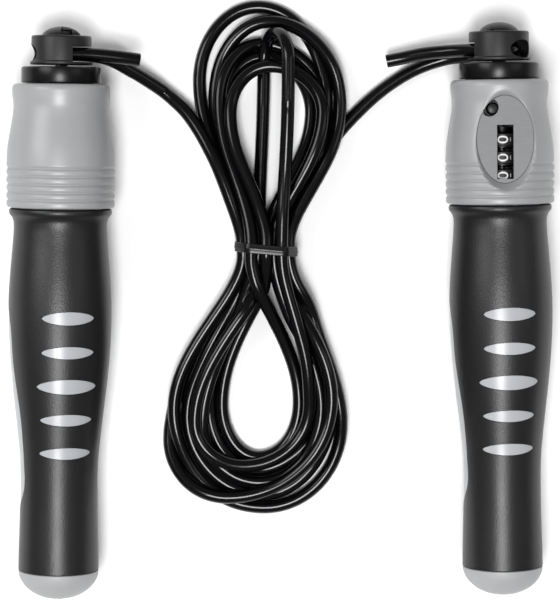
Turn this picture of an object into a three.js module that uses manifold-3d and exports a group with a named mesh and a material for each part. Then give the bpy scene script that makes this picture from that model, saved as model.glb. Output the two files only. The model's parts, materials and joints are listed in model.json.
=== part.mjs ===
// Jump rope with a turn counter, lying bundled on a table. Millimetres, +Z up, heads toward +Y.
// Each handle spins about its own axis around a head that the rope passes through.
// Distances written "a" run along a handle, from its collar's top face toward the grip's end.

import * as THREE from 'three';
import { mergeVertices } from 'three/addons/utils/BufferGeometryUtils.js';
import Module from 'manifold-3d';

const wasm = await Module();
wasm.setup();

// ---- Driving dimensions ----

const GAP = 0.3;
const ROUND_SIDES = 18;
const SMALL_SIDES = 12;
const DOME_STEPS = 5;
const REACH = 20; // how far a cutting solid runs past what it cuts

// Where each handle lies: its axis point at the collar's top face, and its turns in degrees. The grip
// is turned further than the collar, and the head has come to rest turned its own way.
const LIP_RADIUS = 16.2;
const LIP_AT = 36;
const PITCH = 1.15;
const HANDLES = {
  left: { x: -65.3, y: 68.5, yaw: -0.73, roll: 2.5, gripTurn: 12.9, headTurn: 10, inward: 1 },
  right: { x: 65.4, y: 69.8, yaw: 0.82, roll: 2.5, gripTurn: 3.8, headTurn: -42, inward: -1 },
};

// Head: a slotted drum on a spindle, which is also the post that the rope turns round.
const DRUM = { radius: 8.95, top: -14.35, bottom: -5.7, edge: 0.5, flange: 9.3, flangeTop: -6.8 };
const SLOT = { top: -11.3, bottom: -6.5, halfWidth: 6.6, openFrom: 2.6 };
const SIDE_HOLE = { halfWidth: 4.6, halfHeight: 2.7, at: -9.0, deep: 5 };
const CAP = { radius: 6.2, top: -17.1, rim: -13.2, bore: 3.5, boreTop: -16.1 };
const CAP_NOTCH = { from: 0.2, to: REACH, z: 1.4 };
const CAP_CREASE = { from: -2.9, to: -2.1, z: 3.9 };
const SPINDLE = { radius: 1.9, headRadius: 3.1, headTop: -15.7, headBottom: -14.8, end: 12.5 };
const SPINDLE_GROOVE = { radius: 1.4, from: 9.7, to: 10.9 };
const SPINDLE_PIN = { radius: 0.8, end: 14.4 };
const CLIP = { radius: 3.4, bore: 1.7, from: 10.0, to: 10.6 };
const BUSH_BORE = 2.2;
const BUSH_RADIUS = 4.1;
const FINGER = { hub: 1.8, bore: 1.1, tip: 2.8, width: 0.9, from: 12.8, to: 14.0 };

// Bearing cap: the black ring that closes the collar.
const RING = { radius: 11.9, top: -5.1, spigot: 10.3, spigotEnd: 3.0, counterbore: 5.7, counterEnd: -3.8 };

// Collar, as [radius, a] points down the outside, then up the inside.
const RIBS = { first: 26.2, pitch: 2.32, count: 4, crest: 16.2, valley: 15.8 };
const WEB = { from: 5.6, to: 9.8, filletRise: 1.2, filletInset: 1.4 };
const COLLAR_TOP_BORE = 10.6;
const COLLAR_BORE = 12.6;
const COLLAR_END = 36.8;
const COLLAR_OUTLINE = [
  [13.0, 0], [14.1, 0.45], [14.6, 1.7], [14.2, 6.3], [14.8, 12.0], [15.85, 18.4], [16.0, 22.5],
];
const COLLAR_LIP = [[LIP_RADIUS, 35.2], [LIP_RADIUS, 36.0], [15.2, COLLAR_END]];

// Grip: a black sleeve moulded over a grey core, whose pads show through the sleeve's windows.
const SLEEVE_START = 37.2;
const SLEEVE_END = 146.2;
const SLEEVE_WALL = 1.6;
const CORE_WALL = 1.8;
const PAD_RECESS = 0.25;
const SLEEVE_RIM = [[15.1, SLEEVE_START], [15.4, 38.1], [14.6, 39.6]];
const GRIP_OUTLINE = [
  [13.95, 41.4], [14.6, 52.2], [15.5, 67.0], [15.4, 75.0], [14.3, 90.0], [13.0, 102.0], [12.0, 110.7],
  [11.7, 124.0], [12.15, SLEEVE_END],
];
const CORE_START = 33.6;
const CORE_SPIGOT = 12.05;
const LENSES = [
  { at: 69.1, halfHeight: 2.07, halfWidth: 8.05 },
  { at: 79.3, halfHeight: 1.94, halfWidth: 8.05 },
  { at: 89.5, halfHeight: 2.3, halfWidth: 9.1 },
  { at: 99.6, halfHeight: 1.86, halfWidth: 7.95 },
  { at: 109.7, halfHeight: 1.86, halfWidth: 7.9 },
];
const LENS_TIP = [0.72, 0.82];
const LENS_CROWN = 0.42;
const LENS_DEEP = 2;
const LENS_SEGMENTS = 3;
const LEAF_DEEP = 4;
const LEAF_SEGMENTS = 9;
const LEAF_ANGLE = 103;
const LEAF_POINT = 63.0;
const LEAF_BLUNT = 129.0;
const LEAF_EDGE = [[5.2, 71.0], [6.2, 84.0], [7.1, 98.0], [6.1, 112.0], [5.5, 122.0]];
const END_CAP = { radius: 12.1, start: 146.5, end: 155.4, skirt: 8.0, skirtWall: 1.5, skirtStart: 141.5 };

// Counter in the right collar: a recessed face with a window over three number wheels.
const FACE = { z: 12.9, thickness: 1.0, at: 17.6, halfWidth: 8.55, halfLength: 13.0, draft: 0.7 };
const FACE_SIDES = 28;
const RECESS_RISE = 5;
const WINDOW = { width: 4.9, from: 13.35, to: 29.3 };
const BUTTON_HOLE = { x: -4.6, at: 8.2, radius: 2.7 };
const BUTTON = { x: -3.6, at: 8.6, radius: 1.5, top: 12.4, bottom: 7.9 };
const GUIDE = { radius: 2.2, bore: 1.8, flange: 2.6, top: 11.1, flangeBottom: 10.4, bottom: 6.6 };
const WHEEL_Z = 5.6;
const WHEELS = { radius: 6.0, width: 3.6, first: 17.7, pitch: 5.3, bore: 1.3 };
const STAR = { teeth: 10, tip: 3.4, root: 2.4, from: 12.8, to: 14.0, hub: 2.2 };
const WHEEL_SIDES = 16;
const CARRY = { radius: 4.2, tip: 5.3, width: 0.5, sunk: 0.2, toothHalfWidth: 0.9, toothRoot: 3.6 };
const CARRY_GEAR = { teeth: 20, tip: 5.3, root: 4.4, width: 0.7 };
const PINION = { teeth: 8, tip: 2.4, root: 1.5, bore: 1.1 };
const TRANSFER = { distance: 7.0, teethFromBottom: 3, radius: 0.8 };
const AXLE_RADIUS = 1.0;
const FRAME = { from: 11.5, to: 32.6, cheek: 1.0, floor: -4.6, floorThickness: 1.0, spindleHole: 2.4 };
const FRAME_OUTLINE = [
  [-8.2, FRAME.floor], [6.4, FRAME.floor], [6.4, 9.5], [4.5, 11.3], [-4.5, 11.3], [-8.2, 7],
];

// Rope: a round cord, its two short tails, its two leads, and the bundle between them.
const ROPE_RADIUS = 2.0;
const ROPE_STEP = 9;
const ROPE_SIDES = 8;
const BEND_RADIUS = 4.3;
const BEND_STUB = 1.2;
const BEND_STEPS = 11;
const BEND_POINTS = 8;
const STRAND_START = DRUM.radius * 0.8;
const SLOT_CENTRE = (SLOT.top + SLOT.bottom) / 2;
const LEFT_TAIL = [[-51.3, 76.8, 19.1], [-46, 76.2, 18.2], [-41.9, 75.6, 17.3]];
const RIGHT_TAIL = [[51.0, 78.5, 11.6], [42.4, 77.7, 8.8], [36.4, 76.5, 7.4], [32.3, 75.7, 6.9]];
const LEFT_LEAD = [
  [-51.4, 76.1, 10.4], [-45.6, 73.1, 8.4], [-39.6, 69.5, 6.0], [-34.2, 65.7, 4.0], [-30.6, 62.5, 2.8],
];
const RIGHT_LEAD = [
  [57.0, 77.4, 5.2], [51.2, 76.7, 3.2], [45.4, 75.1, 2.5], [39.4, 72.5, 2.25], [33.4, 68.8, 2.2],
  [27.2, 63.9, 2.2], [23.6, 60.5, 2.2],
];
const HANK_HEIGHT = 14;
const HANK_OUTLINE = [
  [-6, 94], [7, 89], [16.5, 78], [20.6, 65], [19, 52], [12, 34], [6.8, 18], [8.5, 8], [13.5, -8],
  [19, -24], [22, -40], [17, -54], [6, -62.5], [-5, -65], [-17, -62], [-29, -56], [-36.4, -44],
  [-36.2, -26], [-27, -6], [-16.5, 8], [-14.6, 18], [-17.5, 33], [-25, 51], [-27.6, 66], [-21, 83],
];
const HANK_STEPS = 60;
const TIE = { x: -4.2, y: 18.9, halfWidth: 9.8, width: 2.9, thickness: 0.8, top: 16.0 };

// ---- Geometry helpers ----

const rad = THREE.MathUtils.degToRad;

function solidOf(geometry) {
  const bare = geometry.index ? geometry.toNonIndexed() : geometry.clone();
  bare.deleteAttribute('normal');
  bare.deleteAttribute('uv');
  const merged = mergeVertices(bare, 1e-4);
  const index = merged.index.array;
  const kept = [];
  for (let i = 0; i < index.length; i += 3) {
    const [p, q, r] = [index[i], index[i + 1], index[i + 2]];
    if (p !== q && q !== r && r !== p) kept.push(p, q, r);
  }
  return new wasm.Manifold(new wasm.Mesh({
    numProp: 3,
    vertProperties: merged.attributes.position.array,
    triVerts: new Uint32Array(kept),
  }));
}

function geometryOf(solid) {
  const mesh = solid.getMesh();
  const geometry = new THREE.BufferGeometry();
  geometry.setAttribute('position', new THREE.BufferAttribute(mesh.vertProperties, 3));
  geometry.setIndex(new THREE.BufferAttribute(mesh.triVerts, 1));
  geometry.computeVertexNormals();
  return geometry;
}

const cut = (geometry, ...tools) =>
  geometryOf(tools.reduce((solid, tool) => solid.subtract(solidOf(tool)), solidOf(geometry)));
const join = (geometry, ...others) =>
  geometryOf(others.reduce((solid, other) => solid.add(solidOf(other)), solidOf(geometry)));
const common = (geometry, other) => geometryOf(solidOf(geometry).intersect(solidOf(other)));

// A solid of revolution about the handle's axis, from [radius, a] points down its outside.
function turned(points, sides = ROUND_SIDES) {
  return new THREE.LatheGeometry(points.map(([r, a]) => new THREE.Vector2(r, -a)).reverse(), sides);
}

function ring(outer, inner, from, to, sides = SMALL_SIDES) {
  return turned([[inner, from], [outer, from], [outer, to], [inner, to], [inner, from]], sides);
}

function rod(radius, from, to, sides = SMALL_SIDES) {
  return turned([[0, from], [radius, from], [radius, to], [0, to]], sides);
}

// A flat shape drawn in x and z, given thickness along the handle's axis.
function slab(shape, from, to) {
  const options = { depth: to - from, bevelEnabled: false, curveSegments: SMALL_SIDES / 2 };
  const geometry = new THREE.ExtrudeGeometry(shape, options);
  return geometry.rotateX(Math.PI / 2).translate(0, -from, 0);
}

// A flat shape drawn in x and y, given thickness along z.
function plate(shape, low, high, curveSegments = 12) {
  const options = { depth: high - low, bevelEnabled: false, curveSegments };
  return new THREE.ExtrudeGeometry(shape, options).translate(0, 0, low);
}

function box(x0, x1, a0, a1, z0, z1) {
  const geometry = new THREE.BoxGeometry(x1 - x0, a1 - a0, z1 - z0);
  return geometry.translate((x0 + x1) / 2, -(a0 + a1) / 2, (z0 + z1) / 2);
}

// A round rod standing along z at a point of the handle.
function post(radius, x, a, low, high, sides = SMALL_SIDES) {
  const geometry = new THREE.CylinderGeometry(radius, radius, high - low, sides);
  return geometry.rotateX(Math.PI / 2).translate(x, -a, (low + high) / 2);
}

function polygon(points) {
  return new THREE.Shape(points.map(([x, y]) => new THREE.Vector2(x, y)));
}

function gearShape(teeth, tip, root, bore) {
  const points = [];
  const step = (2 * Math.PI) / teeth;
  for (let tooth = 0; tooth < teeth; tooth += 1) {
    const middle = tooth * step;
    const half = step / 4;
    points.push([root, middle - half], [tip, middle], [root, middle + half]);
  }
  const shape = polygon(points.map(([r, t]) => [r * Math.sin(t), -r * Math.cos(t)]));
  const hole = new THREE.Path();
  hole.absarc(0, 0, bore, 0, 2 * Math.PI);
  shape.holes.push(hole);
  return shape;
}

// ---- Materials ----

const finish = (color, roughness, metalness = 0) =>
  new THREE.MeshStandardMaterial({ color, roughness, metalness });
const GREY = finish(0xb0b2b4, 0.32);
const LIGHT_GREY = finish(0xd2d6d9, 0.22);
const SOFT_BLACK = finish(0x1b1b1c, 0.62);
const GLOSS_BLACK = finish(0x0a0a0b, 0.18);
const SATIN_BLACK = finish(0x232325, 0.45);
const ROPE_BLACK = finish(0x0c0c0d, 0.2);
const STEEL = finish(0xa9abad, 0.3, 1);
const BRONZE = finish(0x9a7a4a, 0.4, 1);

function piece(name, geometry, material) {
  const mesh = new THREE.Mesh(geometry, material);
  mesh.name = name;
  return mesh;
}

// ---- Grip ----

const offsetOutline = (inset) => GRIP_OUTLINE.map(([r, a]) => [r - inset, a]);
const everySecond = (points) => points.filter((point, i) => i % 2 === 0);

function lensPrism(lens, margin) {
  const w = lens.halfWidth - 2 * margin;
  const h = lens.halfHeight - margin;
  const [tipX, tipY, crown] = [w * LENS_TIP[0], h * LENS_TIP[1], w * LENS_CROWN];
  const shape = new THREE.Shape();
  shape.moveTo(-w, 0);
  shape.bezierCurveTo(-tipX, tipY, -crown, h, 0, h);
  shape.bezierCurveTo(crown, h, tipX, tipY, w, 0);
  shape.bezierCurveTo(tipX, -tipY, crown, -h, 0, -h);
  shape.bezierCurveTo(-crown, -h, -tipX, -tipY, -w, 0);
  return plate(shape, LENS_DEEP, REACH, LENS_SEGMENTS).translate(0, -lens.at, 0);
}

function leafPrism(side, margin) {
  const edge = LEAF_EDGE.map(([t, a]) => [t - margin, -a]);
  const back = edge.map(([t, y]) => [-t, y]).reverse();
  const tip = [0, -LEAF_POINT - 3 * margin];
  const base = [0, -LEAF_BLUNT + margin];
  const curve = new THREE.SplineCurve([tip, ...edge, base].map(([x, y]) => new THREE.Vector2(x, y)));
  const half = curve.getPoints(LEAF_SEGMENTS);
  const mirror = half.slice(1, -1).map((p) => new THREE.Vector2(-p.x, p.y)).reverse();
  return plate(new THREE.Shape([...half, ...mirror]), LEAF_DEEP, REACH).rotateY(side * rad(LEAF_ANGLE));
}

function windowPrisms(margin) {
  return [...LENSES.map((lens) => lensPrism(lens, margin)), leafPrism(-1, margin), leafPrism(1, margin)];
}

function gripSleeve() {
  const inside = everySecond(offsetOutline(SLEEVE_WALL)).reverse();
  const bore = GRIP_OUTLINE[0][0] - SLEEVE_WALL;
  const start = [bore, SLEEVE_START];
  return cut(turned([start, ...SLEEVE_RIM, ...GRIP_OUTLINE, ...inside, start]), ...windowPrisms(0));
}

function gripCore() {
  const outside = everySecond(offsetOutline(SLEEVE_WALL + GAP));
  const inside = everySecond(offsetOutline(SLEEVE_WALL + GAP + CORE_WALL)).reverse();
  const bore = CORE_SPIGOT - CORE_WALL;
  const start = [bore, CORE_START];
  const tube = turned([start, [CORE_SPIGOT, CORE_START], ...outside, ...inside, start]);
  const padFace = everySecond(offsetOutline(PAD_RECESS));
  const padBack = everySecond(offsetOutline(SLEEVE_WALL + GAP + CORE_WALL / 2)).reverse();
  const shell = turned([...padFace, ...padBack, padFace[0]]);
  return join(tube, ...windowPrisms(GAP).map((prism) => common(shell, prism)));
}

function endCap() {
  const dome = [];
  const height = END_CAP.end - END_CAP.start;
  for (let step = 0; step < DOME_STEPS; step += 1) {
    const t = (step / DOME_STEPS) * (Math.PI / 2);
    dome.push([END_CAP.radius * Math.cos(t), END_CAP.start + height * Math.sin(t)]);
  }
  dome.push([0, END_CAP.end]);
  const inner = END_CAP.skirt - END_CAP.skirtWall;
  const cavity = [[0, END_CAP.end - 2], [inner, END_CAP.start + 3], [inner, END_CAP.skirtStart]];
  const skirt = [[END_CAP.skirt, END_CAP.skirtStart], [END_CAP.skirt, END_CAP.start]];
  return turned([...cavity, ...skirt, ...dome]);
}

// ---- Collar and bearings ----

function ribbedOutline() {
  const points = [];
  for (let rib = 0; rib < RIBS.count; rib += 1) {
    const crest = RIBS.first + rib * RIBS.pitch;
    points.push([RIBS.valley, crest - RIBS.pitch / 2], [RIBS.crest, crest]);
  }
  points.push([RIBS.valley, RIBS.first + (RIBS.count - 0.5) * RIBS.pitch]);
  return points;
}

function collarShell() {
  const start = [COLLAR_TOP_BORE, 0];
  const bore = BUSH_RADIUS + GAP;
  return turned([
    start, ...COLLAR_OUTLINE, ...ribbedOutline(), ...COLLAR_LIP,
    [COLLAR_BORE, COLLAR_END], [COLLAR_BORE, WEB.to + WEB.filletRise],
    [COLLAR_BORE - WEB.filletInset, WEB.to],
    [bore, WEB.to], [bore, WEB.from], [COLLAR_TOP_BORE, WEB.from], start,
  ]);
}

function ellipseShape(halfWidth, halfLength) {
  const shape = new THREE.Shape();
  shape.absellipse(0, -FACE.at, halfWidth, halfLength, 0, 2 * Math.PI);
  return shape;
}

// The recess widens outward from the counter's face by its draft.
function recessCutter() {
  const grow = RECESS_RISE * FACE.draft;
  const cone = new THREE.CylinderGeometry(1, 1, RECESS_RISE, FACE_SIDES).rotateX(Math.PI / 2);
  const position = cone.attributes.position;
  for (let i = 0; i < position.count; i += 1) {
    const outer = position.getZ(i) > 0 ? grow : 0;
    position.setX(i, position.getX(i) * (FACE.halfWidth + outer));
    position.setY(i, position.getY(i) * (FACE.halfLength + outer) - FACE.at);
  }
  return cone.translate(0, 0, FACE.z + RECESS_RISE / 2);
}

function counterCollar() {
  const low = FACE.z - FACE.thickness - GAP;
  const opening = plate(ellipseShape(FACE.halfWidth, FACE.halfLength), low, FACE.z + 0.5, FACE_SIDES / 2);
  const flangeWell = post(GUIDE.flange + GAP, BUTTON.x, BUTTON.at, GUIDE.flangeBottom - GAP, FACE.z);
  const guideWell = post(GUIDE.radius + GAP, BUTTON.x, BUTTON.at, GUIDE.bottom - GAP, FACE.z);
  return cut(collarShell(), recessCutter(), opening, flangeWell, guideWell);
}

function bearingCap() {
  const bore = BUSH_RADIUS + GAP;
  const bevel = 0.5;
  return turned([
    [RING.counterbore, RING.top], [RING.radius - bevel, RING.top], [RING.radius, RING.top + bevel],
    [RING.radius, -GAP], [RING.spigot, -GAP], [RING.spigot, RING.spigotEnd], [bore, RING.spigotEnd],
    [bore, RING.counterEnd], [RING.counterbore, RING.counterEnd], [RING.counterbore, RING.top],
  ]);
}

function upperBush() {
  const flange = RING.counterbore - GAP;
  const flangeBottom = RING.counterEnd - GAP;
  return turned([
    [BUSH_BORE, RING.top + GAP], [flange, RING.top + GAP], [flange, flangeBottom],
    [BUSH_RADIUS, flangeBottom], [BUSH_RADIUS, RING.spigotEnd - GAP],
    [BUSH_BORE, RING.spigotEnd - GAP], [BUSH_BORE, RING.top + GAP],
  ], SMALL_SIDES);
}

// ---- Head ----

function headDrum(inward) {
  const { radius, top, bottom, edge, flange, flangeTop } = DRUM;
  const body = turned([
    [0, top], [radius - edge, top], [radius, top + edge], [radius, flangeTop], [flange, flangeTop],
    [flange, bottom], [0, bottom],
  ]);
  const throat = new THREE.Shape();
  throat.absarc(0, 0, SLOT.halfWidth, Math.PI / 2, (3 * Math.PI) / 2);
  throat.lineTo(SLOT.openFrom, -SLOT.halfWidth);
  throat.lineTo(SLOT.openFrom, -REACH);
  throat.lineTo(REACH, -REACH);
  throat.lineTo(REACH, REACH);
  throat.lineTo(SLOT.openFrom, REACH);
  throat.lineTo(SLOT.openFrom, SLOT.halfWidth);
  const slot = slab(throat, SLOT.top, SLOT.bottom);
  const window = rod(1, SIDE_HOLE.deep, REACH).scale(SIDE_HOLE.halfHeight, 1, SIDE_HOLE.halfWidth);
  window.rotateZ(-Math.PI / 2).translate(0, -SIDE_HOLE.at, 0);
  if (inward < 0) slot.rotateY(Math.PI);
  if (inward < 0) window.rotateY(Math.PI);
  return cut(body, slot, window, rod(BUSH_BORE, top - 2, bottom + 2));
}

// The left dome is open over its screw; the right one only has a crease.
function headCap(inward) {
  const dome = [];
  const height = CAP.rim - CAP.top;
  for (let step = 0; step <= DOME_STEPS; step += 1) {
    const t = (step / DOME_STEPS) * (Math.PI / 2);
    dome.push([CAP.radius * Math.sin(t), CAP.rim - height * Math.cos(t)]);
  }
  const cavity = [[CAP.bore, CAP.rim], [CAP.bore, CAP.boreTop], [0, CAP.boreTop]];
  const under = box(-REACH, REACH, DRUM.top - GAP, REACH, -REACH, REACH);
  const { from, to, z } = inward > 0 ? CAP_NOTCH : CAP_CREASE;
  const notch = box(from, to, -REACH, REACH, z, REACH);
  return cut(turned([...dome, ...cavity]), under, notch);
}

function spindle() {
  return turned([
    [0, SPINDLE.headTop], [SPINDLE.headRadius, SPINDLE.headTop], [SPINDLE.headRadius, SPINDLE.headBottom],
    [SPINDLE.radius, SPINDLE.headBottom], [SPINDLE.radius, SPINDLE_GROOVE.from],
    [SPINDLE_GROOVE.radius, SPINDLE_GROOVE.from], [SPINDLE_GROOVE.radius, SPINDLE_GROOVE.to],
    [SPINDLE.radius, SPINDLE_GROOVE.to], [SPINDLE.radius, SPINDLE.end],
    [SPINDLE_PIN.radius, SPINDLE.end], [SPINDLE_PIN.radius, SPINDLE_PIN.end], [0, SPINDLE_PIN.end],
  ], SMALL_SIDES);
}

function driveFinger() {
  const hub = ring(FINGER.hub, FINGER.bore, FINGER.from, FINGER.to);
  const middle = (FINGER.hub + FINGER.bore) / 2;
  const tooth = box(-FINGER.width / 2, FINGER.width / 2, FINGER.from, FINGER.to, -FINGER.tip, -middle);
  return join(hub, tooth);
}

// ---- Counter ----

function facePlate() {
  const outline = ellipseShape(FACE.halfWidth - GAP, FACE.halfLength - GAP);
  const low = FACE.z - FACE.thickness;
  const face = plate(outline, low, FACE.z, FACE_SIDES / 2);
  const window = box(-WINDOW.width / 2, WINDOW.width / 2, WINDOW.from, WINDOW.to, low - 1, FACE.z + 1);
  const hole = post(BUTTON_HOLE.radius, BUTTON_HOLE.x, BUTTON_HOLE.at, low - 1, FACE.z + 1, ROUND_SIDES);
  return cut(face, window, hole);
}

// The transfer axle lies on a line through a tooth of the carried wheels' gears, counted round from
// the tooth that points down, and a gap of each pinion faces that tooth.
const MESH_ANGLE = (TRANSFER.teethFromBottom * 2 * Math.PI) / CARRY_GEAR.teeth;
const TRANSFER_X = -TRANSFER.distance * Math.sin(MESH_ANGLE);
const TRANSFER_Z = WHEEL_Z - TRANSFER.distance * Math.cos(MESH_ANGLE);
const PINION_PHASE = MESH_ANGLE - Math.PI + Math.PI / PINION.teeth;

function counterFrame() {
  const block = slab(polygon(FRAME_OUTLINE), FRAME.from, FRAME.to);
  const inside = box(-REACH, REACH, FRAME.from + FRAME.cheek, FRAME.to - FRAME.cheek,
    FRAME.floor + FRAME.floorThickness, REACH);
  const throughEnds = [FRAME.from - 1, FRAME.to + 1];
  const spindleHole = rod(FRAME.spindleHole, FRAME.from - 1, FRAME.from + FRAME.cheek + 1);
  const wheelHole = rod(AXLE_RADIUS + GAP, ...throughEnds).translate(0, 0, WHEEL_Z);
  const transferHole = rod(TRANSFER.radius + GAP, ...throughEnds).translate(TRANSFER_X, 0, TRANSFER_Z);
  return cut(block, inside, spindleHole, wheelHole, transferHole);
}

function axle(radius) {
  return rod(radius, FRAME.from - 0.2, FRAME.to + 0.2);
}

function wheelRim(centre) {
  const half = WHEELS.width / 2;
  return ring(WHEELS.radius, WHEELS.bore, centre - half, centre + half, WHEEL_SIDES);
}

function carryDisc(from) {
  const ends = [from - CARRY.sunk, from + CARRY.width];
  const disc = ring(CARRY.radius, WHEELS.bore, ...ends, WHEEL_SIDES);
  const { toothHalfWidth, toothRoot, tip } = CARRY;
  return join(disc, box(-toothHalfWidth, toothHalfWidth, ...ends, toothRoot, tip));
}

function unitsWheel() {
  const { first, width, bore } = WHEELS;
  const star = slab(gearShape(STAR.teeth, STAR.tip, STAR.root, bore), STAR.from, STAR.to);
  const hub = ring(STAR.hub, bore, STAR.to - 0.3, first - width / 2 + 0.3);
  return join(wheelRim(first), star, hub, carryDisc(first + width / 2));
}

function carriedWheel(centre, carries) {
  const side = centre - WHEELS.width / 2;
  const gear = gearShape(CARRY_GEAR.teeth, CARRY_GEAR.tip, CARRY_GEAR.root, WHEELS.bore);
  const parts = [slab(gear, side - CARRY_GEAR.width, side + 0.3)];
  if (carries) parts.push(carryDisc(centre + WHEELS.width / 2));
  return join(wheelRim(centre), ...parts);
}

function pinion(wheelCentre) {
  const from = wheelCentre + WHEELS.width / 2 + 0.25;
  const to = wheelCentre + WHEELS.pitch - WHEELS.width / 2 - 0.25;
  const shape = gearShape(PINION.teeth, PINION.tip, PINION.root, PINION.bore);
  return slab(shape, from, to).rotateY(PINION_PHASE);
}

function buttonGuide() {
  const sleeve = post(GUIDE.radius, BUTTON.x, BUTTON.at, GUIDE.bottom, GUIDE.top);
  const flange = post(GUIDE.flange, BUTTON.x, BUTTON.at, GUIDE.flangeBottom, GUIDE.top);
  const bore = post(GUIDE.bore, BUTTON.x, BUTTON.at, GUIDE.bottom - 1, GUIDE.top + 1);
  return cut(join(sleeve, flange), bore);
}

// ---- Rope ----

function ropeAlong(route, steps) {
  const section = new THREE.Shape();
  section.absarc(0, 0, ROPE_RADIUS, 0, 2 * Math.PI);
  const options = { extrudePath: route, steps, bevelEnabled: false, curveSegments: ROPE_SIDES / 2 };
  return new THREE.ExtrudeGeometry(section, options);
}

function headFrame(side, turn = 0) {
  const { x, y, yaw } = HANDLES[side];
  const frame = new THREE.Group();
  frame.position.set(x, y, LIP_RADIUS + LIP_AT * Math.sin(rad(PITCH)));
  frame.rotation.set(rad(PITCH), rad(turn), rad(yaw), 'ZXY');
  frame.updateMatrixWorld(true);
  return frame;
}

// The rope's turn round the post, seen along the handle: front strand, half circle, back strand.
function ropeBend(inward) {
  const points = [[BEND_STUB, BEND_RADIUS]];
  for (let step = 0; step <= BEND_POINTS; step += 1) {
    const t = Math.PI / 2 + (step / BEND_POINTS) * Math.PI;
    points.push([BEND_RADIUS * Math.cos(t), BEND_RADIUS * Math.sin(t)]);
  }
  points.push([BEND_STUB, -BEND_RADIUS]);
  const path = points.map(([x, z]) => new THREE.Vector3(inward * x, -SLOT_CENTRE, z));
  return ropeAlong(new THREE.CatmullRomCurve3(path), BEND_STEPS);
}

// A lead or tail: out of the head's slot in front of the post or behind it, then along its points.
function strand(side, front, points) {
  const { inward, headTurn } = HANDLES[side];
  const z = front ? BEND_RADIUS : -BEND_RADIUS;
  const frame = headFrame(side, headTurn);
  const inSlot = [BEND_STUB + GAP, STRAND_START].map((x) =>
    frame.localToWorld(new THREE.Vector3(inward * x, -SLOT_CENTRE, z)));
  const free = points.map(([x, y, height]) => new THREE.Vector3(x, y, height));
  const route = new THREE.CatmullRomCurve3([...inSlot, ...free], false, 'centripetal');
  return ropeAlong(route, Math.ceil(route.getLength() / ROPE_STEP));
}

function stadium(x, z, halfWidth, halfHeight) {
  const reach = halfWidth - halfHeight;
  const shape = new THREE.Shape();
  shape.absarc(x + reach, z, halfHeight, -Math.PI / 2, Math.PI / 2);
  shape.absarc(x - reach, z, halfHeight, Math.PI / 2, (3 * Math.PI) / 2);
  return shape;
}

function tieBand(inset, from, to) {
  const halfHeight = TIE.top / 2;
  return slab(stadium(TIE.x, halfHeight, TIE.halfWidth - inset, halfHeight - inset), from, to);
}

function hankTie() {
  const [from, to] = [-TIE.y - TIE.width / 2, -TIE.y + TIE.width / 2];
  return cut(tieBand(0.05, from, to), tieBand(TIE.thickness, from - 1, to + 1));
}

// The bundle is a closed outline with a groove round its waist for the tie.
function ropeHank() {
  const points = HANK_OUTLINE.map(([x, y]) => new THREE.Vector3(x, y, 0));
  const curve = new THREE.CatmullRomCurve3(points, true, 'centripetal');
  const outline = curve.getSpacedPoints(HANK_STEPS).slice(0, -1);
  const shape = new THREE.Shape(outline.map((p) => new THREE.Vector2(p.x, p.y)));
  const body = plate(shape, 0, HANK_HEIGHT);
  const [from, to] = [-TIE.y - TIE.width / 2 - GAP, -TIE.y + TIE.width / 2 + GAP];
  const around = box(-30, 25, from, to, -5, HANK_HEIGHT + 5);
  return cut(body, cut(around, tieBand(TIE.thickness + GAP, from - 1, to + 1)));
}

// ---- Assembly ----

function handlePieces(side) {
  const gripTurn = rad(HANDLES[side].gripTurn);
  return [
    piece(`${side}_grip_sleeve`, gripSleeve().rotateY(gripTurn), SOFT_BLACK),
    piece(`${side}_grip_core`, gripCore().rotateY(gripTurn), LIGHT_GREY),
    piece(`${side}_end_cap`, endCap(), GREY),
    piece(`${side}_collar`, side === 'right' ? counterCollar() : collarShell(), GREY),
    piece(`${side}_bearing_cap`, bearingCap(), GLOSS_BLACK),
    piece(`${side}_upper_bush`, upperBush(), BRONZE),
    piece(`${side}_lower_bush`, ring(BUSH_RADIUS, BUSH_BORE, WEB.from + GAP, WEB.to - GAP), BRONZE),
  ];
}

function counterPieces() {
  const { first, pitch } = WHEELS;
  const onWheelAxle = [
    piece('counter_wheel_units', unitsWheel(), SATIN_BLACK),
    piece('counter_wheel_tens', carriedWheel(first + pitch, true), SATIN_BLACK),
    piece('counter_wheel_hundreds', carriedWheel(first + 2 * pitch, false), SATIN_BLACK),
    piece('counter_wheel_axle', axle(AXLE_RADIUS), STEEL),
  ];
  onWheelAxle.forEach((mesh) => mesh.position.set(0, 0, WHEEL_Z));
  const onTransferAxle = [
    piece('transfer_pinion_1', pinion(first), SATIN_BLACK),
    piece('transfer_pinion_2', pinion(first + pitch), SATIN_BLACK),
    piece('transfer_axle', axle(TRANSFER.radius), STEEL),
  ];
  onTransferAxle.forEach((mesh) => mesh.position.set(TRANSFER_X, 0, TRANSFER_Z));
  return [
    ...onWheelAxle, ...onTransferAxle,
    piece('counter_face_plate', facePlate(), GREY),
    piece('counter_frame', counterFrame(), SATIN_BLACK),
    piece('button_guide', buttonGuide(), GLOSS_BLACK),
    piece('reset_button', post(BUTTON.radius, BUTTON.x, BUTTON.at, BUTTON.bottom, BUTTON.top), SATIN_BLACK),
  ];
}

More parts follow.
